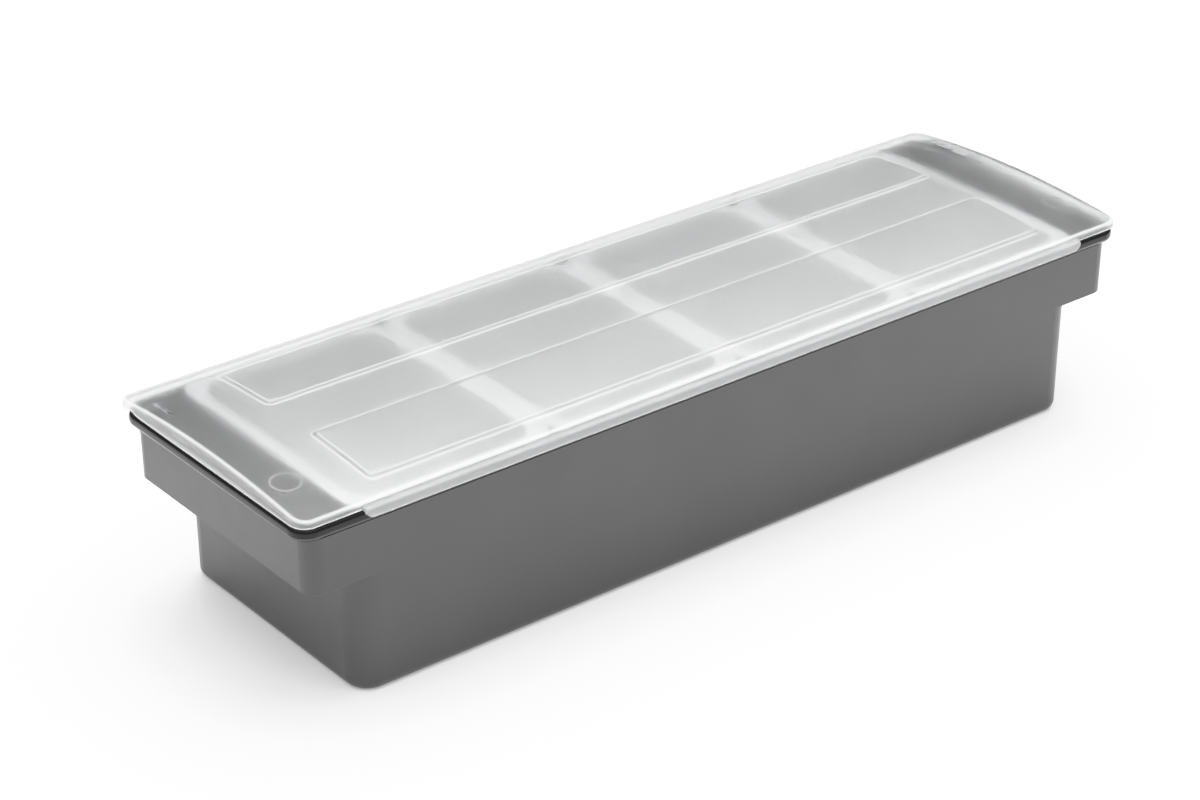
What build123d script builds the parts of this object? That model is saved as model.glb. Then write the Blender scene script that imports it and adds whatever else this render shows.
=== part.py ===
from build123d import *
import os
from math import radians, tan

# Bar condiment holder. A long moulded base with stepped ends carries four lift-out
# trays by their flanges, and one arched lid closes over them on two snap hinges.
# Millimetres, +Z up, X along the length, +Y towards the hinges at the back.
# The origin is on the table, under the middle of the holder.

# Base: a tub on the table and a longer upper body whose ends stand out as hand grips
wall = 3.0
draft = 0.5                 # degrees, every upright wall of the base leans out by this
tub_half_x = 221.0          # outside of the tub at the table
tub_half_y = 70.7
tub_corner = 12.0
foot_radius = 4.5           # round along the tub's lower edge
foot_ring = 8.0             # width of the ring that the tub stands on
foot_recess = 0.8
grip_bottom = 60.4          # underside of the stepped ends
grip_half_x = 245.0
grip_corner = 8.0
deck_top = 91.0             # flat top of each stepped end, inside the rim
deck_thickness = 3.0

# Rim: a rolled bead round the top of the base
rim_bottom = 88.0
rim_top = 95.0
rim_half_x = 250.0
rim_half_y = 73.3
rim_corner = 9.5
rim_lower_radius = 3.2
rim_upper_radius = 2.6
ledge_depth = 1.5           # step inside the rim that the tray flanges lie on
ledge_half_y = 70.2
rim_inner_half_x = 242.7

# Lid: a shallow barrel vault with upright ends
lid_half_x = 250.0
lid_front = -73.5
lid_back = 77.0
lid_bottom = 95.4
lid_edge = 98.9             # where the vault meets the front and back skirts
lid_apex = 103.6
lid_wall = 2.0
lid_corner = 8.0
lid_edge_radius = 2.0
panel_rise = 1.2
panel_half_x = 205.5
panel_corner = 4.0
front_panel = (-61.0, -13.5)
back_panel = (18.5, 63.5)

# Thumb flap: an angled lip that hangs over the front of the rim
flap_half_x = 218.0
flap_front = -77.0
flap_bottom = 92.6
flap_top = 97.6
flap_thickness = 2.0
flap_corner = 4.0
flap_edge_radius = 1.4

# Snap hinges: goosenecked arms under the lid, with pins in blind holes in the base
hinge_y = 64.8
hinge_z = 84.0
pin_radius = 2.0
pin_clearance = 0.05
pin_end_gap = 0.4
arm_inner_x = 236.2
arm_thickness = 3.0
arm_end_radius = 2.9
boss_gap = 0.4
boss_radius = 5.4
hole_depth = 4.3
boss_root = 1.0             # how far each boss runs into the end wall
arm_foot = (27.0, 59.0)     # stretch of the lid that each arm's foot is moulded to
arm_foot_top = (102.1, 99.9)        # inside the lid's wall, at the foot's front and back
arm_foot_bottom = (96.0, 97.2)
arm_neck = (43.0, 51.0)     # front and back of the upright part of the gooseneck
arm_neck_top = 93.0
arm_heel = (3.4, 2.4)       # corner cut off the lower front of the neck, along Y and Z
arm_bottom = 76.2
tail_touch = (0.75, 2.8)    # where the tail's edges meet its round end, from the axis
tail_drop = 0.7             # how far below the axis the tail leaves the neck
foot_rib = 2.0              # thickness of the ribs from the foot to the lid's end
slot_centre_y = 48.0        # window in the lid over each hinge, which moulds the pin
slot_length = 14.0
slot_width = 2.8
slot_gap = 0.8              # between each arm and its window
deck_window_gap = (1.6, 3.5)        # room beside and before each arm in the deck's window
relief_radius = 12.6        # clears the rim under the lid's ends as the lid turns

# Trays: four alike, hung side by side
tray_count = 4
trays_half_x = 221.2
tray_gap = 0.6
tray_bottom = 24.0
tray_wall = 1.8
tray_draft = 3.0
tray_corner = 14.0
tray_foot_radius = 8.0
tray_half_y = 66.8          # outside, just under the flange
flange_half_y = 69.9
flange_side = 5.0           # flange beyond the body at the tray's two sides
flange_corner = 8.0
flange_thickness = 1.5

lean = tan(radians(draft))
upper_half_y = tub_half_y + grip_bottom * lean
tub_end_x = tub_half_x + grip_bottom * lean
grip_inner_x = grip_half_x - wall
grip_inner_y = upper_half_y - wall
lid_middle = (lid_front + lid_back) / 2
tray_pitch = (2 * trays_half_x + tray_gap) / tray_count
arm_outer_x = arm_inner_x + arm_thickness
boss_face_x = arm_outer_x + boss_gap
pin_end_x = boss_face_x + hole_depth - pin_end_gap
sides = (-1, 1)


def plate_plane(side, near_x, thickness):
    """Plane across X from which a plate is extruded towards +X, on either end."""
    return Plane.YZ.offset(near_x if side > 0 else -near_x - thickness)


with BuildPart() as rim_bead:
    with BuildSketch(Plane.XY.offset(rim_bottom)):
        RectangleRounded(2 * rim_half_x, 2 * rim_half_y, rim_corner)
    extrude(amount=rim_top - rim_bottom)
    fillet(rim_bead.edges().group_by(Axis.Z)[0], radius=rim_lower_radius)
    fillet(rim_bead.edges().group_by(Axis.Z)[-1], radius=rim_upper_radius)

with BuildPart() as base:
    with BuildSketch():
        RectangleRounded(2 * tub_half_x, 2 * tub_half_y, tub_corner)
    extrude(amount=grip_bottom, taper=-draft)
    fillet(base.edges().group_by(Axis.Z)[0], radius=foot_radius)
    with BuildSketch(Plane.XY.offset(grip_bottom)):
        RectangleRounded(2 * grip_half_x, 2 * upper_half_y, grip_corner)
    extrude(amount=rim_bottom - grip_bottom, taper=-draft)
    add(rim_bead.part)

    # Tub cavity, open to the top
    with BuildSketch(Plane.XY.offset(wall)):
        RectangleRounded(2 * (tub_half_x - wall), 2 * (tub_half_y - wall), tub_corner - wall)
    extrude(amount=rim_top - wall, taper=-draft, mode=Mode.SUBTRACT)

    # Ledge for the tray flanges, then the sunk decks beyond the tub's end walls
    with BuildSketch(Plane.XY.offset(rim_top - ledge_depth)):
        RectangleRounded(2 * rim_inner_half_x, 2 * ledge_half_y, grip_corner - wall)
    extrude(amount=ledge_depth, mode=Mode.SUBTRACT)
    with BuildSketch(Plane.XY.offset(deck_top)):
        for side in sides:
            with Locations((side * (tub_end_x + rim_inner_half_x) / 2, 0)):
                Rectangle(rim_inner_half_x - tub_end_x, 2 * grip_inner_y)
    extrude(amount=rim_top - deck_top, mode=Mode.SUBTRACT)

    # The stepped ends are hollow from below, so that fingers fit under them
    with BuildSketch(Plane.XY.offset(grip_bottom)):
        for side in sides:
            with Locations((side * (tub_end_x + grip_inner_x) / 2, 0)):
                Rectangle(grip_inner_x - tub_end_x, 2 * grip_inner_y)
    extrude(amount=deck_top - deck_thickness - grip_bottom, mode=Mode.SUBTRACT)

    # Shallow recess underneath, which leaves a ring to stand on
    with BuildSketch():
        RectangleRounded(2 * (tub_half_x - foot_ring), 2 * (tub_half_y - foot_ring), tub_corner / 2)
    extrude(amount=foot_recess, mode=Mode.SUBTRACT)

    # Windows in the decks for the lid's arms, and a blind pin hole in a boss beside each
    window_x = (arm_inner_x - deck_window_gap[0], grip_inner_x)
    window_y = (arm_neck[0] - deck_window_gap[1], grip_inner_y)
    with BuildSketch(Plane.XY.offset(deck_top - deck_thickness)):
        for side in sides:
            with Locations((side * sum(window_x) / 2, sum(window_y) / 2)):
                Rectangle(window_x[1] - window_x[0], window_y[1] - window_y[0])
    extrude(amount=deck_thickness, mode=Mode.SUBTRACT)
    for side in sides:
        boss_length = grip_inner_x + boss_root - boss_face_x
        with BuildSketch(plate_plane(side, boss_face_x, boss_length)):
            with Locations((hinge_y, hinge_z)):
                Circle(boss_radius)
        extrude(amount=boss_length)
        with BuildSketch(plate_plane(side, boss_face_x, hole_depth)):
            with Locations((hinge_y, hinge_z)):
                Circle(pin_radius + pin_clearance)
        extrude(amount=hole_depth, mode=Mode.SUBTRACT)


def vault(inset, rise=0.0):
    """Block under the lid's arch, its faces inset, or its arch raised by rise."""
    front, back = lid_front + inset, lid_back - inset
    edge, apex = lid_edge - inset + rise, lid_apex - inset + rise
    half_x = lid_half_x - inset
    with BuildPart() as block:
        with BuildSketch(Plane.YZ.offset(-half_x)):
            with BuildLine():
                Polyline((front, edge), (front, lid_bottom), (back, lid_bottom), (back, edge))
                ThreePointArc((front, edge), (lid_middle, apex), (back, edge))
            make_face()
        extrude(amount=2 * half_x)
        fillet(block.edges().filter_by(Axis.Z), radius=lid_corner - inset)
    return block.part


def raised_panel(y_range):
    """One raised field of the lid's top, as deep as the arch it stands on."""
    with BuildPart() as panel:
        with BuildSketch(Plane.XY.offset(lid_edge)):
            with Locations((0, sum(y_range) / 2)):
                RectangleRounded(2 * panel_half_x, y_range[1] - y_range[0], panel_corner)
        extrude(amount=2 * (lid_apex - lid_edge))
        add(vault(0.0, panel_rise), mode=Mode.INTERSECT)
    return panel.part


with BuildPart() as lid:
    add(vault(0.0))
    fillet(lid.faces().sort_by(Axis.Z)[-1].edges(), radius=lid_edge_radius)
    add(vault(lid_wall), mode=Mode.SUBTRACT)
    add(raised_panel(front_panel))
    add(raised_panel(back_panel))

    # Thumb flap: a shelf out of the front skirt, and a lip that hangs from it
    shelf_back = lid_front + lid_wall / 2
    with BuildSketch(Plane.XY.offset(flap_top - flap_thickness)):
        with Locations((0, (flap_front + shelf_back) / 2)):
            Rectangle(2 * flap_half_x, shelf_back - flap_front)
    extrude(amount=flap_thickness)
    with BuildSketch(Plane.XZ.offset(-flap_front - flap_thickness)) as lip:
        with Locations((0, (flap_bottom + flap_top) / 2)):
            Rectangle(2 * flap_half_x, flap_top - flap_bottom)
        fillet(lip.vertices().group_by(Axis.Y)[0], radius=flap_corner)
    extrude(amount=flap_thickness)
    front_edges = lid.edges().filter_by(Axis.X).filter_by_position(Axis.Y, flap_front, flap_front)
    fillet(front_edges.sort_by(Axis.Z)[-1], radius=flap_edge_radius)

    for side in sides:
        # Gooseneck arm: its foot under the lid, the neck down, and the tail back to the pin
        with BuildSketch(plate_plane(side, arm_inner_x, arm_thickness)):
            with BuildLine():
                Polyline(
                    (arm_foot[0], arm_foot_top[0]),
                    (arm_foot[0], arm_foot_bottom[0]),
                    (arm_neck[0], arm_neck_top),
                    (arm_neck[0], arm_bottom + arm_heel[1]),
                    (arm_neck[0] + arm_heel[0], arm_bottom),
                    (hinge_y + tail_touch[0], hinge_z - tail_touch[1]),
                    (hinge_y - tail_touch[0], hinge_z + tail_touch[1]),
                    (arm_neck[1], hinge_z - tail_drop),
                    (arm_neck[1], arm_foot_bottom[1]),
                    (arm_foot[1], arm_foot_bottom[1]),
                    (arm_foot[1], arm_foot_top[1]),
                    (arm_foot[0], arm_foot_top[0]),
                )
            make_face()
            with Locations((hinge_y, hinge_z)):
                Circle(arm_end_radius)
        extrude(amount=arm_thickness)
        pin_length = pin_end_x - arm_outer_x
        with BuildSketch(plate_plane(side, arm_outer_x, pin_length)):
            with Locations((hinge_y, hinge_z)):
                Circle(pin_radius)
        extrude(amount=pin_length)

        # Two ribs that tie the foot to the lid's end, and the moulding window between them
        rib_length = lid_half_x - lid_wall / 2 - arm_outer_x
        rib_x = side * (arm_outer_x + rib_length / 2)
        rib_y = (arm_foot[0] + foot_rib / 2, arm_foot[1] - foot_rib / 2)
        for middle, bottom, top in zip(rib_y, arm_foot_bottom, arm_foot_top):
            with BuildSketch(Plane.XY.offset(bottom)):
                with Locations((rib_x, middle)):
                    Rectangle(rib_length, foot_rib)
            extrude(amount=top - bottom)
        slot_x = side * (arm_outer_x + slot_gap + slot_width / 2)
        with BuildSketch(Plane.XY.offset(lid_bottom)):
            with Locations((slot_x, slot_centre_y)):
                SlotOverall(slot_length, slot_width, rotation=90)
        extrude(amount=lid_apex - lid_bottom, mode=Mode.SUBTRACT)

        # Relief round the hinge axis in the lower edge of the lid's end
        with BuildSketch(plate_plane(side, lid_half_x - lid_wall, lid_wall)):
            with Locations((hinge_y, hinge_z)):
                Circle(relief_radius)
        extrude(amount=lid_wall, mode=Mode.SUBTRACT)


def tray_body(inset, bottom, top, centre_x):
    """Tapered body of a tray, inset from its outside, with a rounded foot."""
    top_half_x = tray_pitch / 2 - tray_gap / 2 - flange_side - inset
    top_half_y = tray_half_y - inset
    narrowing = (top - bottom) * tan(radians(tray_draft))
    with BuildPart() as body:
        with BuildSketch(Plane.XY.offset(bottom)):
            with Locations((centre_x, 0)):
                RectangleRounded(
                    2 * (top_half_x - narrowing),
                    2 * (top_half_y - narrowing),
                    tray_corner - inset - narrowing,
                )
        extrude(amount=top - bottom, taper=-tray_draft)
        fillet(body.edges().group_by(Axis.Z)[0], radius=tray_foot_radius - inset)
    return body.part


def make_tray(number):
    """Lift-out tray: tapered body, open at the top, with a flange that lies on the ledge."""
    centre_x = -trays_half_x - tray_gap / 2 + tray_pitch * (number - 0.5)
    with BuildPart() as tray:
        add(tray_body(0.0, tray_bottom, rim_top, centre_x))
        with BuildSketch(Plane.XY.offset(rim_top - ledge_depth)):
            with Locations((centre_x, 0)):
                RectangleRounded(tray_pitch - tray_gap, 2 * flange_half_y, flange_corner)
        extrude(amount=flange_thickness)
        add(tray_body(tray_wall, tray_bottom + tray_wall, rim_top, centre_x), mode=Mode.SUBTRACT)
    tray.part.label = f"tray_{number}"
    return tray.part


base.part.label = "base"
lid.part.label = "lid"
pieces = [base.part, lid.part] + [make_tray(number) for number in range(1, tray_count + 1)]

os.makedirs("parts", exist_ok=True)
for piece in pieces:
    export_step(piece, f"parts/{piece.label}.step")
    print(piece.label, round(piece.volume / 1000, 1), "cm3")
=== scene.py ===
import math

import bpy
import numpy as np
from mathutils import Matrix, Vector


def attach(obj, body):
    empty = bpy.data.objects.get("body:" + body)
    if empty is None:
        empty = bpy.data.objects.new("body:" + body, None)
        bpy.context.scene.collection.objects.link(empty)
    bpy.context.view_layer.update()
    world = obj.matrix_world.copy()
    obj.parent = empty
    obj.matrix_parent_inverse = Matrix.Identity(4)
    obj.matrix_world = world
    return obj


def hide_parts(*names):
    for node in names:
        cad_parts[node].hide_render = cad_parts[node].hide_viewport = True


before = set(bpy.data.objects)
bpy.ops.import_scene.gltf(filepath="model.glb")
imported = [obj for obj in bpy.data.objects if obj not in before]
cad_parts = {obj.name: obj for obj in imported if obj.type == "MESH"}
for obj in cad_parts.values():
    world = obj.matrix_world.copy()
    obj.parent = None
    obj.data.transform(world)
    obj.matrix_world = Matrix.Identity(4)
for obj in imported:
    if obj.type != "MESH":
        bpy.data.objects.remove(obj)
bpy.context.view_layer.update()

mm = 0.001      # new pieces are worked out in millimetres


print("stage: frame loaded")

# Camera: at the holder's left front, a little above it
cameraSet = {
    "azimuth": -38.5,       # degrees round from looking along +Y
    "elevation": 27.82,
    "distance": 1.50894,    # metres from the aim point
    "aim": (-0.01851, 0.01469, 0.04694),
    "lens": 92.5533,        # millimetres, as is the sensor's width
    "sensor": 36.0,
}


def makeCamera(values):
    azimuth = math.radians(values["azimuth"])
    elevation = math.radians(values["elevation"])
    level = math.cos(elevation)
    back = Vector((math.sin(azimuth) * level, -math.cos(azimuth) * level, math.sin(elevation)))
    camera = bpy.data.cameras.new("mainCamera")
    camera.lens = values["lens"]
    camera.sensor_width = values["sensor"]
    holder = bpy.data.objects.new("mainCamera", camera)
    bpy.context.scene.collection.objects.link(holder)
    holder.location = Vector(values["aim"]) + back * values["distance"]
    holder.rotation_euler = (-back).to_track_quat("-Z", "Y").to_euler()
    bpy.context.scene.camera = holder


makeCamera(cameraSet)
print("stage: camera")


# Small helpers for building materials
def newMaterial(name):
    material = bpy.data.materials.new(name)
    material.use_nodes = True
    tree = material.node_tree
    return material, tree, tree.nodes["Principled BSDF"]


def objectPlace(tree):
    return tree.nodes.new("ShaderNodeTexCoord").outputs["Object"]


def heightOf(tree, place):
    node = tree.nodes.new("ShaderNodeSeparateXYZ")
    tree.links.new(place, node.inputs[0])
    return node.outputs["Z"]


def noise(tree, place, scale, detail, roughness):
    node = tree.nodes.new("ShaderNodeTexNoise")
    node.inputs["Scale"].default_value = scale
    node.inputs["Detail"].default_value = detail
    node.inputs["Roughness"].default_value = roughness
    tree.links.new(place, node.inputs["Vector"])
    return node.outputs["Fac"]


def remap(tree, value, fromLow, fromHigh, toLow=0.0, toHigh=1.0, smooth=True):
    node = tree.nodes.new("ShaderNodeMapRange")
    node.interpolation_type = "SMOOTHSTEP" if smooth else "LINEAR"
    ends = {"From Min": fromLow, "From Max": fromHigh, "To Min": toLow, "To Max": toHigh}
    for socket, number in ends.items():
        node.inputs[socket].default_value = number
    tree.links.new(value, node.inputs["Value"])
    return node.outputs["Result"]


# Noise spread between two values: a pattern is its cells to a metre, detail and roughness,
# and the two levels of it that become low and high.
def patterned(tree, place, pattern, low=0.0, high=1.0):
    scale, detail, roughness, fromLow, fromHigh = pattern
    return remap(tree, noise(tree, place, scale, detail, roughness), fromLow, fromHigh, low, high)


def calculate(tree, operation, first, second):
    node = tree.nodes.new("ShaderNodeMath")
    node.operation = operation
    for socket, value in zip(node.inputs, (first, second)):
        if isinstance(value, (int, float)):
            socket.default_value = value
        else:
            tree.links.new(value, socket)
    return node.outputs[0]


def blendColour(tree, factor, first, second):
    node = tree.nodes.new("ShaderNodeMix")
    node.data_type = "RGBA"
    tree.links.new(factor, node.inputs["Factor"])
    for socket, value in ((node.inputs[6], first), (node.inputs[7], second)):       # the two colours
        if isinstance(value, tuple):
            socket.default_value = (*value, 1.0)
        else:
            tree.links.new(value, socket)
    return node.outputs[2]


# Fine grain as bumps: cells to a metre, strength, and depth in metres
def addGrain(tree, shader, place, grain):
    scale, strength, depth = grain
    node = tree.nodes.new("ShaderNodeBump")
    node.inputs["Strength"].default_value = strength
    node.inputs["Distance"].default_value = depth
    tree.links.new(noise(tree, place, scale, 2.0, 0.5), node.inputs["Height"])
    tree.links.new(node.outputs["Normal"], shader.inputs["Normal"])


# How much an edge stands out: one less the cosine between the true normal and the same
# normal softened over a small radius, so it is zero on flat faces and small on gentle curves.
def edgeShare(tree, radius):
    soft = tree.nodes.new("ShaderNodeBevel")
    soft.samples = 4
    soft.inputs["Radius"].default_value = radius
    true = tree.nodes.new("ShaderNodeNewGeometry")
    product = tree.nodes.new("ShaderNodeVectorMath")
    product.operation = "DOT_PRODUCT"
    tree.links.new(soft.outputs["Normal"], product.inputs[0])
    tree.links.new(true.outputs["Normal"], product.inputs[1])
    return calculate(tree, "SUBTRACT", 1.0, product.outputs["Value"])


# Base: a wall in two greys, a glossier rim darkened by painted shade, painted shade on the rim top and
# decks by weaker reflection, and lighter worn edges
baseSet = {
    "wall": (0.018, 0.018, 0.0185), "wallLight": (0.025, 0.025, 0.0255),
    "cloud": (11.0, 3.0, 0.5, 0.35, 0.65),
    # The rim's darker grey is painted shade for the shade under the lid's edge: the rim is the wall's
    # plastic
    "rim": (0.012, 0.012, 0.0125), "rimFrom": 0.0868, "rimTo": 0.0880,      # heights in metres
    "worn": (0.11, 0.11, 0.11), "wornMost": 0.45,
    "edgeRadius": 0.0011, "edgeFrom": 0.02, "edgeTo": 0.30,     # edges softened over this radius
    "patch": (160.0, 4.0, 0.65, 0.42, 0.62), "patchLeast": 0.15,
    "underLidShade": (0.30, 0.30, 0.30), "underLidShadeFrom": 0.0901, "underLidShadeTo": 0.0909,       # painted shade: the rim top and decks under the lid reflect less
    "roughness": (0.28, 0.34), "satin": (55.0, 4.0, 0.5, 0.3, 0.7),
    "rimRoughness": 0.17, "specular": 1.0,
    "grain": (1300.0, 0.035, 0.00012),
}


def makeBasePlastic(values):
    material, tree, shader = newMaterial("basePlastic")
    place = objectPlace(tree)
    height = heightOf(tree, place)
    rim = remap(tree, height, values["rimFrom"], values["rimTo"])
    cloud = patterned(tree, place, values["cloud"])
    grey = blendColour(tree, cloud, values["wall"], values["wallLight"])
    # painted shade: the rim is drawn darker than the wall
    grey = blendColour(tree, rim, grey, values["rim"])
    edge = edgeShare(tree, values["edgeRadius"])
    edge = remap(tree, edge, values["edgeFrom"], values["edgeTo"], 0.0, values["wornMost"])
    patch = patterned(tree, place, values["patch"], values["patchLeast"], 1.0)
    scuff = calculate(tree, "MULTIPLY", edge, patch)
    tree.links.new(blendColour(tree, scuff, grey, values["worn"]), shader.inputs["Base Color"])
    satin = patterned(tree, place, values["satin"], *values["roughness"])
    gloss = calculate(tree, "MULTIPLY", rim, values["rimRoughness"] - sum(values["roughness"]) / 2)
    tree.links.new(calculate(tree, "ADD", satin, gloss), shader.inputs["Roughness"])
    shader.inputs["Specular IOR Level"].default_value = values["specular"]
    # painted shade: a lower specular tint on the rim top and decks, where the lid shades them
    underLidShade = remap(tree, height, values["underLidShadeFrom"], values["underLidShadeTo"])
    underLidShadeTint = blendColour(tree, underLidShade, (1.0, 1.0, 1.0), values["underLidShade"])
    tree.links.new(underLidShadeTint, shader.inputs["Specular Tint"])
    addGrain(tree, shader, place, values["grain"])
    return material


traySet = {
    "white": (0.88, 0.88, 0.88), "warm": (0.855, 0.855, 0.85), "cloud": (18.0, 3.0, 0.5, 0.35, 0.65),
    "roughness": (0.285, 0.36), "satin": (90.0, 3.0, 0.5, 0.3, 0.7),
    "grain": (900.0, 0.06, 0.0001),
}


def makeTrayPlastic(values):
    material, tree, shader = newMaterial("trayPlastic")
    place = objectPlace(tree)
    colour = blendColour(tree, patterned(tree, place, values["cloud"]), values["white"], values["warm"])
    tree.links.new(colour, shader.inputs["Base Color"])
    satin = patterned(tree, place, values["satin"], *values["roughness"])
    tree.links.new(satin, shader.inputs["Roughness"])
    addGrain(tree, shader, place, values["grain"])
    return material


frostSet = {
    "clear": (0.955, 0.962, 0.966), "milky": (0.98, 0.984, 0.988), "cloud": (24.0, 3.0, 0.5, 0.3, 0.7),
    "haze": 0.025, "edgeHazeAndHighlight": 0.68,        # shares of light scattered where the share of haze and painted highlight is none and full
    "roughness": (0.32, 0.38), "frost": (70.0, 4.0, 0.5, 0.3, 0.7), "ior": 1.35,
    "coat": 0.15, "coatRoughness": 0.12,
    "grain": (600.0, 0.02, 0.0001),
}


def makeFrostedPlastic(values):
    material, tree, shader = newMaterial("frostedPlastic")
    place = objectPlace(tree)
    milkAndHighlight = tree.nodes.new("ShaderNodeAttribute")        # share of haze and painted highlight, written with the mesh
    milkAndHighlight.attribute_name = "milkAndHighlight"
    colour = blendColour(tree, patterned(tree, place, values["cloud"]), values["clear"], values["milky"])
    tree.links.new(colour, shader.inputs["Base Color"])
    most, least = 1.0 - values["haze"], 1.0 - values["edgeHazeAndHighlight"]
    clearness = remap(tree, milkAndHighlight.outputs["Fac"], 0.0, 1.0, most, least, smooth=False)
    tree.links.new(clearness, shader.inputs["Transmission Weight"])
    frost = patterned(tree, place, values["frost"], *values["roughness"])
    tree.links.new(frost, shader.inputs["Roughness"])
    shader.inputs["IOR"].default_value = values["ior"]
    shader.inputs["Coat Weight"].default_value = values["coat"]
    shader.inputs["Coat Roughness"].default_value = values["coatRoughness"]
    addGrain(tree, shader, place, values["grain"])
    return material


floorSet = {
    "white": (0.85, 0.85, 0.85), "off": (0.83, 0.83, 0.83), "cloud": (3.0, 3.0, 0.5, 0.3, 0.7),
    "roughness": 0.6, "glow": 0.26,     # the glow lights it from below, as a light table does
    "half": 40.0,
}


def makeFloor(values):
    material, tree, shader = newMaterial("paleFloor")
    cloud = patterned(tree, objectPlace(tree), values["cloud"])
    tree.links.new(blendColour(tree, cloud, values["white"], values["off"]), shader.inputs["Base Color"])
    shader.inputs["Roughness"].default_value = values["roughness"]
    shader.inputs["Emission Color"].default_value = (1.0, 1.0, 1.0, 1.0)
    shader.inputs["Emission Strength"].default_value = values["glow"]
    half = values["half"]
    corners = [(-half, -half, 0.0), (half, -half, 0.0), (half, half, 0.0), (-half, half, 0.0)]
    mesh = bpy.data.meshes.new("floor")
    mesh.from_pydata(corners, [], [(0, 1, 2, 3)])
    mesh.materials.append(material)
    floor = bpy.data.objects.new("floor", mesh)
    bpy.context.scene.collection.objects.link(floor)


basePlastic = makeBasePlastic(baseSet)
trayPlastic = makeTrayPlastic(traySet)
frostedPlastic = makeFrostedPlastic(frostSet)
makeFloor(floorSet)
print("stage: materials and floor")

# The base and the trays keep their exact moulded shapes, in finished materials
for name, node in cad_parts.items():
    if name != "lid":
        node.data.materials.clear()
        node.data.materials.append(basePlastic if name == "base" else trayPlastic)
print("stage: base and trays")


# A piece from points in millimetres and faces, with its share of haze and painted highlight at each point
# if it has one
def newPiece(name, verts, faces, material, body, milkAndHighlight=None):
    mesh = bpy.data.meshes.new(name)
    mesh.from_pydata((verts * mm).tolist(), [], faces)
    mesh.update()
    mesh.polygons.foreach_set("use_smooth", np.ones(len(faces), bool))
    mesh.materials.append(material)
    if milkAndHighlight is not None:
        mesh.attributes.new("milkAndHighlight", "FLOAT", "POINT").data.foreach_set("value", milkAndHighlight)
    piece = bpy.data.objects.new(name, mesh)
    bpy.context.scene.collection.objects.link(piece)
    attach(piece, body)
    return piece


# Quads between one ring of points and the next
def ringQuads(here, there):
    return np.stack([here, np.roll(here, -1), np.roll(there, -1), there], -1).tolist()


# Faces of a section carried along rows of points: quads between rows, and one face on each end
def loftFaces(rows, around):
    rings = np.arange(rows * around).reshape(rows, around)
    faces = [quad for here, there in zip(rings, rings[1:]) for quad in ringQuads(here, there)]
    return faces + [rings[0, ::-1].tolist(), rings[-1].tolist()]


# Grid lines from low to high: the fine places, and the gaps between them divided evenly
# into steps no longer than coarse.
def gridLines(low, high, fine, coarse):
    places = sorted({round(float(v), 3) for v in [low, high, *fine] if low <= v <= high})
    lines = [places[:1]]
    for here, there in zip(places, places[1:]):
        count = max(1, math.ceil((there - here) / coarse))
        lines.append(np.linspace(here, there, count + 1)[1:])
    return np.concatenate(lines)


# Zero below nought, one above one, and three t squared less two t cubed between
def smoothStep(t):
    t = np.clip(t, 0.0, 1.0)
    return t * t * (3.0 - 2.0 * t)


# Bell curve: e to the power of minus the square of distance over width
def bell(distance, width):
    return np.exp(-((distance / width) ** 2))


# Distance inwards from a rounded rectangle's outline: its corner radius, less the distance
# out from the rectangle that lies one radius inside it. Outside the outline it is negative.
def insideRounded(x, y, halfX, halfY, radius):
    qx, qy = np.abs(x) - (halfX - radius), np.abs(y) - (halfY - radius)
    outside = np.hypot(np.maximum(qx, 0.0), np.maximum(qy, 0.0))
    return radius - outside - np.minimum(np.maximum(qx, qy), 0.0)


# Rounds the corners of a rectangle's grid: in each corner square a point keeps its direction
# from the arc's centre, and its larger coordinate becomes its distance from there.
def roundCorners(x, y, halfX, halfY, radius):
    ax, ay = np.abs(x) - (halfX - radius), np.abs(y) - (halfY - radius)
    there = (ax > 0) & (ay > 0)
    share = np.where(there, np.maximum(ax, ay) / np.maximum(np.hypot(ax, ay), 1e-9), 1.0)
    newX = np.where(there, np.sign(x) * (halfX - radius + ax * share), x)
    newY = np.where(there, np.sign(y) * (halfY - radius + ay * share), y)
    return newX, newY


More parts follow.
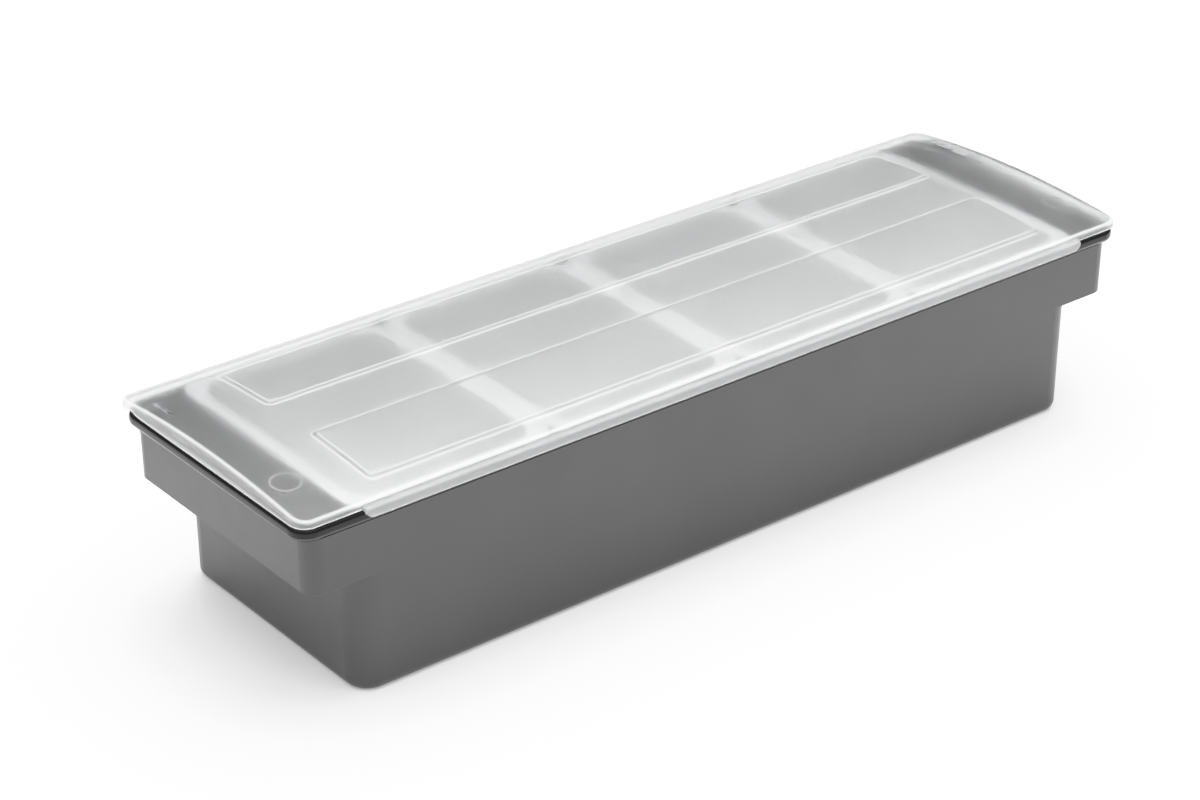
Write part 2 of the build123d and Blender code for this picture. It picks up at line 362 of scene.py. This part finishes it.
# Lid: one shell with two raised fields, a thumb flap, and two hinge arms below it
lidSet = {
    "halfX": 250.0, "front": -73.5, "back": 77.0,
    "bottom": 95.4, "edge": 98.9, "apex": 103.6,        # lower edge, foot of the arch, top of the arch
    "wall": 2.0, "corner": 8.0, "edgeRound": 2.0,
    "panelRise": 1.0, "panelHalfX": 205.5, "panelCorner": 4.0, "panelSlope": 2.6,
    "panels": ((-61.0, -13.5), (18.5, 63.5)),       # Y of the front and back of each raised field
    "ringX": 236.0, "ringY": -42.0, "ringRadius": 7.0, "ringRise": 0.35, "ringWidth": 0.55,
    "slotX": 241.4, "slotY": 48.0, "slotLong": 14.0, "slotWide": 2.8,       # moulding windows
    "hingeY": 64.8, "hingeZ": 84.0, "relief": 12.6, "reliefEnd": 1.0,       # ends cut away round the pins
    # Round the skirt's foot: share of the wall crossed, and height over the lowest part
    "skirt": ((0.0, 0.5), (0.12, 0.18), (0.3, 0.0), (0.7, 0.0), (0.88, 0.18), (1.0, 0.5)),
    # Haze and painted highlights: painted highlight lines along the fields' slopes and along the turned
    # edge, haze on the rings, and a painted highlight down the skirt, round its foot and up inside
    "lineHighlight": 0.50, "linePlaces": (0.1, 2.3), "lineWidth": 0.45,
    "edgeHighlight": 1.0, "edgePlace": 1.0, "edgeWidth": 0.9, "clearBack": 4.0,
    "markMilk": 0.34, "skirtHighlight": (0.25, 0.8, 1.0, 1.0, 0.8, 0.3, 0.0),
    # Grid: distances from the outline, from the foot of a slope and from a window's side, the
    # lines across a ring, and the longest steps elsewhere
    "edgeSteps": (0.0, 0.15, 0.45, 0.9, 1.4, 2.0, 2.6, 3.6, 5.0, 8.0),
    "slopeSteps": (-0.4, 0.0, 0.45, 0.9, 1.3, 1.75, 2.2, 2.6, 3.0),
    "slotSteps": (0.0, 0.25, 0.65, 1.4),
    "ringReach": 8.4, "ringStep": 0.6, "stepX": 7.0, "stepY": 3.0,
    "closeUp": 5.0,     # the wall's thickness is taken from this width of the under face's grid
}


# Middle of the lid along Y, and half its depth
def lidSpan():
    front, back = lidSet["front"], lidSet["back"]
    return (front + back) / 2, (back - front) / 2


# Arch across the width: a circle through both edges and the apex, whose radius is half the
# width squared plus the rise squared, over twice the rise, lowered by drop.
def archHeight(y, drop):
    middle, half = lidSpan()
    apex = lidSet["apex"]
    rise = apex - lidSet["edge"]
    radius = (half * half + rise * rise) / (2 * rise)
    return apex - radius - drop + np.sqrt(radius * radius - (y - middle) ** 2)


# Distance inwards from the outline of each raised field in turn
def insidePanels(x, y):
    v = lidSet
    for low, high in v["panels"]:
        yield insideRounded(x, y - (low + high) / 2, v["panelHalfX"], (high - low) / 2, v["panelCorner"])


# Both raised fields: the rise times a smooth step of the distance inside each outline
def panelHeight(x, y):
    v = lidSet
    return sum(v["panelRise"] * smoothStep(inside / v["panelSlope"]) for inside in insidePanels(x, y))


# A ring near each end: a bell curve of the distance from its circle
def ringShare(x, y):
    v = lidSet
    away = [np.hypot(x - side * v["ringX"], y - v["ringY"]) - v["ringRadius"] for side in (-1, 1)]
    return sum(bell(distance, v["ringWidth"]) for distance in away)


def lidLines():
    v = lidSet
    ring = np.arange(-v["ringReach"], v["ringReach"] + v["ringStep"] / 2, v["ringStep"])
    ends = [v["halfX"] - d for d in v["edgeSteps"]]
    ends += [v["panelHalfX"] - d for d in v["slopeSteps"]]
    ends += [v["slotX"] + s * (v["slotWide"] / 2 - d) for s in (-1, 1) for d in v["slotSteps"]]
    ends += [v["ringX"] + d for d in ring]
    across = [v["front"] + d for d in v["edgeSteps"]] + [v["back"] - d for d in v["edgeSteps"]]
    for low, high in v["panels"]:
        across += [low + d for d in v["slopeSteps"]] + [high - d for d in v["slopeSteps"]]
    across += [v["slotY"] + s * (v["slotLong"] / 2 - d) for s in (-1, 1) for d in v["slotSteps"]]
    across += [v["ringY"] + d for d in ring]
    xs = gridLines(-v["halfX"], v["halfX"], [s * e for s in (-1, 1) for e in ends], v["stepX"])
    return xs, gridLines(v["front"], v["back"], across, v["stepY"])


# One face of the lid: the arch plus the raised fields, turned down round its outline by a
# quarter circle. The under face lies one wall lower, and has a raised ring near each end.
def lidSheet(xs, ys, under):
    v = lidSet
    wall = v["wall"] if under else 0.0
    middle, halfY = lidSpan()
    x, y = np.meshgrid(xs, ys - middle, indexing="ij")

    def closeUp(place, half):       # the outer lines close up to make room for the wall
        depth, band = half - np.abs(place), v["closeUp"]
        depth = np.where(depth < band, wall + depth * (band - wall) / band, depth)
        return np.sign(place) * (half - depth)

    halfX, radius = v["halfX"] - wall, v["corner"] - wall
    x, y = roundCorners(closeUp(x, v["halfX"]), closeUp(y, halfY), halfX, halfY - wall, radius)
    inward = np.maximum(insideRounded(x, y, halfX, halfY - wall, radius), 0.0)
    y = y + middle
    bend = v["edgeRound"] - wall / 2
    z = archHeight(y, wall) + panelHeight(x, y)
    z -= bend - np.sqrt(np.maximum(bend**2 - np.maximum(bend - inward, 0.0) ** 2, 0.0))
    if under:
        z -= v["ringRise"] * ringShare(x, y)
    return x, y, z


# Haze and painted highlights of the outer face: a painted highlight as a narrow bell curve along the foot
# and another along the crest of each field's slope, a broad painted highlight along the turned edge
# except at the back, and haze on the rings.
def outerMilkAndHighlight(x, y):
    v = lidSet
    milkAndHighlight = np.zeros_like(x)
    for inside in insidePanels(x, y):
        for place in v["linePlaces"]:
            milkAndHighlight += v["lineHighlight"] * bell(inside - place, v["lineWidth"])
    middle, halfY = lidSpan()
    inward = insideRounded(x, y - middle, v["halfX"], halfY, v["corner"])
    turned = bell(inward - v["edgePlace"], v["edgeWidth"])
    milkAndHighlight += v["edgeHighlight"] * turned * (y < v["back"] - v["clearBack"])
    milkAndHighlight += v["markMilk"] * ringShare(x, y)
    return np.clip(milkAndHighlight, 0.0, 1.0)


# Grid points round each moulding window, anticlockwise from above
def slotLoop(xs, ys, side):
    v = lidSet
    cx, cy = side * v["slotX"], v["slotY"]
    i0, i1 = (int(np.argmin(np.abs(xs - cx - s * v["slotWide"] / 2))) for s in (-1, 1))
    j0, j1 = (int(np.argmin(np.abs(ys - cy - s * v["slotLong"] / 2))) for s in (-1, 1))
    loop = [(i, j0) for i in range(i0, i1)] + [(i1, j) for j in range(j0, j1)]
    loop += [(i, j1) for i in range(i1, i0, -1)] + [(i0, j) for j in range(j1, j0, -1)]
    return (i0, i1, j0, j1), tuple(np.array(loop).T)


# Rings below the outline: down the outside, round the lower edge and up the inside. At the
# ends the lower edge rises over a circle about the hinge axis.
def skirtRings(outer, inner):
    v = lidSet
    foot = np.full(len(outer), v["bottom"])
    reach = v["relief"] ** 2 - (outer[:, 1] - v["hingeY"]) ** 2
    atEnd = (np.abs(outer[:, 0]) > v["halfX"] - v["reliefEnd"]) & (reach > 0)
    foot[atEnd] = np.maximum(foot[atEnd], v["hingeZ"] + np.sqrt(reach[atEnd]))
    rings = []
    for share, lift in v["skirt"]:
        ring = outer * (1 - share) + inner * share
        ring[:, 2] = foot + lift
        rings.append(ring)
    middle = (outer + rings[0]) / 2
    return [middle] + rings


# Shell: the outer face, the under face turned over, the skirt that joins them round the
# outline, and the upright sides of the moulding windows.
def makeLidShell():
    v = lidSet
    xs, ys = lidLines()
    top, low = lidSheet(xs, ys, False), lidSheet(xs, ys, True)
    nx, ny = top[0].shape
    index = np.arange(nx * ny).reshape(nx, ny)
    keep = np.ones((nx - 1, ny - 1), bool)
    windows = []
    halfX, halfY = v["slotWide"] / 2, v["slotLong"] / 2
    for side in (-1, 1):
        (i0, i1, j0, j1), at = slotLoop(xs, ys, side)
        keep[i0:i1, j0:j1] = False
        windows.append(index[at])
        cx, cy = side * v["slotX"], v["slotY"]
        for x, y, _ in (top, low):
            roundX, roundY = roundCorners(x[at] - cx, y[at] - cy, halfX, halfY, halfX)
            x[at], y[at] = roundX + cx, roundY + cy
    cells = np.stack([index[:-1, :-1], index[1:, :-1], index[1:, 1:], index[:-1, 1:]], -1)[keep]
    topMilkAndHighlight = outerMilkAndHighlight(top[0], top[1]).ravel()
    top, low = (np.stack(sheet, -1).reshape(-1, 3) for sheet in (top, low))
    count = len(top)
    faces = cells.tolist() + (cells[:, ::-1] + count).tolist()
    rim = np.concatenate([index[:-1, 0], index[-1, :-1], index[:0:-1, -1], index[0, :0:-1]])
    around = len(rim)
    rings = skirtRings(top[rim], low[rim])
    ringPoints = [2 * count + k * around + np.arange(around) for k in range(len(rings))]
    chain = [rim, *ringPoints, count + rim]
    for here, there in zip(chain, chain[1:]):
        faces += np.stack([here, there, np.roll(there, -1), np.roll(here, -1)], -1).tolist()
    for window in windows:
        faces += ringQuads(window, window + count)
    # painted highlight down the skirt, whitest round its foot; the under face has none
    milkAndHighlight = np.concatenate([topMilkAndHighlight, np.zeros(count), np.repeat(v["skirtHighlight"], around)])
    verts = np.concatenate([top, low, *rings])
    shell = newPiece("lidShell", verts, faces, frostedPlastic, "lid", milkAndHighlight)
    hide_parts("lid")


flapSet = {
    "halfX": 218.0, "front": -77.0, "root": -72.6,
    "top": 97.6, "shelf": 95.7, "bottom": 92.6,     # upper face, under the shelf, foot of the lip
    "thick": 2.0, "round": 1.4, "fine": 0.48,       # the lip, its upper edge, its foot and ends
    "inner": 0.4, "innerMiddle": 0.12,      # round between lip and shelf, and its middle point
    # The flap's haze share is a painted highlight: it draws the whole lip whiter than the lid
    "corner": 4.0, "leastLip": 0.95, "milkAndHighlight": 0.40,
    "steps": (0.0, 0.12, 0.3, 0.5, 1.0, 1.7, 2.5, 3.2, 4.0),        # rows near each end
    "middleSteps": 40, "roundSteps": 7,
}


# Flap: the section of a shelf with a lip hanging from it, carried along X. Near each end the
# lip's lower edge rises by a quarter circle, and the whole section draws in by a fine round.
def makeFlap():
    v = flapSet
    ends = v["halfX"] - np.array(v["steps"])
    xs = np.concatenate([-ends, np.linspace(-ends[-1], ends[-1], v["middleSteps"])[1:-1], ends[::-1]])
    fromEnd = v["halfX"] - np.abs(xs)
    rise = np.maximum(v["corner"] - fromEnd, 0.0)
    bottom = v["bottom"] + v["corner"] - np.sqrt(np.maximum(v["corner"] ** 2 - rise**2, 0.0))
    bottom = np.minimum(bottom, v["shelf"] - v["leastLip"])
    near = np.maximum(v["fine"] - fromEnd, 0.0)
    draw = v["fine"] - np.sqrt(np.maximum(v["fine"] ** 2 - near**2, 0.0))
    turn = np.linspace(0.0, math.pi / 2, v["roundSteps"])
    rounding = [(1 - math.sin(t), 1 - math.cos(t)) for t in turn]       # in radii, round a corner
    shelf, radius, fine, inner = v["shelf"], v["round"], v["fine"], v["inner"]
    sections = []
    for low, d in zip(bottom, draw):
        front, top, back = v["front"] + d, v["top"] - d, v["front"] + v["thick"] - d
        section = [(v["root"], top)]
        section += [(front + radius * s, top - radius * c) for s, c in rounding]
        section += [(front, (top + low) / 2)]
        section += [(front + fine * c, low + fine * s) for s, c in rounding[::3]]
        section += [(back - fine * s, low + fine * c) for s, c in rounding[::3]]
        section += [(back, shelf - inner), (back + v["innerMiddle"], shelf - v["innerMiddle"])]
        section += [(back + inner, shelf), (v["root"], shelf)]
        sections.append(section)
    yz = np.array(sections)
    rows, around = yz.shape[:2]
    verts = np.concatenate([np.repeat(xs, around)[:, None], yz.reshape(-1, 2)], 1)
    # painted highlight: the whole flap is hazier, so it shows whiter
    milkAndHighlight = np.full(len(verts), v["milkAndHighlight"])
    newPiece("lidFlap", verts, loftFaces(rows, around), frostedPlastic, "lid", milkAndHighlight)


armSet = {
    "innerX": 236.2, "thick": 3.0, "bevel": 0.45, "bevelAngle": 40.0,
    "outline": (        # Y and Z round the gooseneck: foot, neck, tail, and back up
        (27.0, 102.1), (27.0, 96.0), (43.0, 93.0), (43.0, 78.6), (46.4, 76.2), (65.55, 81.2),
        (67.0, 82.2), (67.65, 83.8), (67.2, 85.6), (65.8, 86.7), (64.05, 86.8),
        (51.0, 83.3), (51.0, 97.2), (59.0, 97.2), (59.0, 99.9),
    ),
    "ribs": ((27.0, 29.0, 96.0, 101.6), (57.0, 59.0, 97.2, 99.7)), "ribEnd": 249.0,
    "pinRadius": 2.0, "pinEnd": 243.5, "pinSides": 28,
    "sink": 0.5,        # how far the ribs and the pin start inside the arm
}


# A flat outline in Y and Z made into a block between two places along X. Twice the outline's
# area, which is negative for a clockwise outline, tells which way its faces point.
def outlineBlock(outline, nearX, farX):
    yz = np.array(outline)
    verts = np.concatenate([np.column_stack([np.full(len(yz), x), yz]) for x in sorted((nearX, farX))])
    area = np.sum(yz[:, 0] * np.roll(yz[:, 1], -1) - np.roll(yz[:, 0], -1) * yz[:, 1])
    faces = loftFaces(2, len(yz))
    return verts, faces if area > 0 else [face[::-1] for face in faces]


# Hinge arm: the gooseneck as a block, two ribs out to the lid's end, and a round pin
def makeArm(name, side):
    v = armSet
    outerX = v["innerX"] + v["thick"]
    blocks = [outlineBlock(v["outline"], side * v["innerX"], side * outerX)]
    start = side * (outerX - v["sink"])
    for front, back, low, high in v["ribs"]:
        corners = ((front, low), (back, low), (back, high), (front, high))
        blocks.append(outlineBlock(corners, start, side * v["ribEnd"]))
    t = np.linspace(0.0, 2 * math.pi, v["pinSides"], endpoint=False)
    axis = (lidSet["hingeY"], lidSet["hingeZ"])
    circle = v["pinRadius"] * np.column_stack([np.cos(t), np.sin(t)]) + axis
    blocks.append(outlineBlock(circle, start, side * v["pinEnd"]))
    verts, faces, count = [], [], 0
    for points, quads in blocks:
        verts.append(points)
        faces += [[k + count for k in face] for face in quads]
        count += len(points)
    arm = newPiece(name, np.concatenate(verts), faces, frostedPlastic, "lid")
    arm.data.polygons.foreach_set("use_smooth", np.zeros(len(faces), bool))
    bevel = arm.modifiers.new("softEdges", "BEVEL")
    bevel.width = v["bevel"] * mm
    bevel.segments = 2
    bevel.limit_method = "ANGLE"
    bevel.angle_limit = math.radians(v["bevelAngle"])


makeLidShell()
makeFlap()
makeArm("hingeArmLeft", -1)
makeArm("hingeArmRight", 1)
print("stage: lid")

lightSet = {
    "horizon": 0.15, "zenith": 2.30,        # strength of the sky low down and overhead
    "from": 0.40, "to": 0.95,       # upward part of the direction where it starts and stops changing
    "lamps": {      # place, aim, width and height in metres, power in watts
        "highKey": ((0.55, 0.35, 1.8), (0.0, 0.0, 0.05), 1.8, 1.8, 23.0),
    },
}


def makeLights(values):
    world = bpy.data.worlds.new("studio")
    world.use_nodes = True
    tree = world.node_tree
    upward = heightOf(tree, tree.nodes.new("ShaderNodeTexCoord").outputs["Generated"])
    ends = (values["from"], values["to"], values["horizon"], values["zenith"])
    sky = remap(tree, upward, *ends, smooth=False)
    tree.nodes["Background"].inputs["Color"].default_value = (1.0, 1.0, 1.0, 1.0)
    tree.links.new(sky, tree.nodes["Background"].inputs["Strength"])
    bpy.context.scene.world = world
    for name, (place, aim, width, height, power) in values["lamps"].items():
        lamp = bpy.data.lights.new(name, "AREA")
        lamp.shape = "RECTANGLE"
        lamp.size = width
        lamp.size_y = height
        lamp.energy = power
        holder = bpy.data.objects.new(name, lamp)
        bpy.context.scene.collection.objects.link(holder)
        holder.location = place
        holder.rotation_euler = (Vector(aim) - Vector(place)).to_track_quat("-Z", "Y").to_euler()


# Highlights: a point is the light as a share of the peak, then the light that is shown for
# it. Light below the first point shows as it is, and brighter light is eased towards white,
# so that the white trays keep their shape when the lid is open.
toneSet = {"peak": 1.6, "shoulder": ((0.35, 0.56), (0.50, 0.77), (0.64, 0.89), (0.80, 0.965))}


def easeHighlights(values):
    view = bpy.context.scene.view_settings
    view.view_transform = "Standard"
    view.use_curve_mapping = True
    mapping = view.curve_mapping
    mapping.white_level = (values["peak"],) * 3
    points = mapping.curves[3].points       # the fourth curve is for all three colours together
    for light, shown in values["shoulder"]:
        points.new(light, shown)
    for point in points:
        point.handle_type = "VECTOR"
    mapping.update()


makeLights(lightSet)
easeHighlights(toneSet)
print("stage: lights")
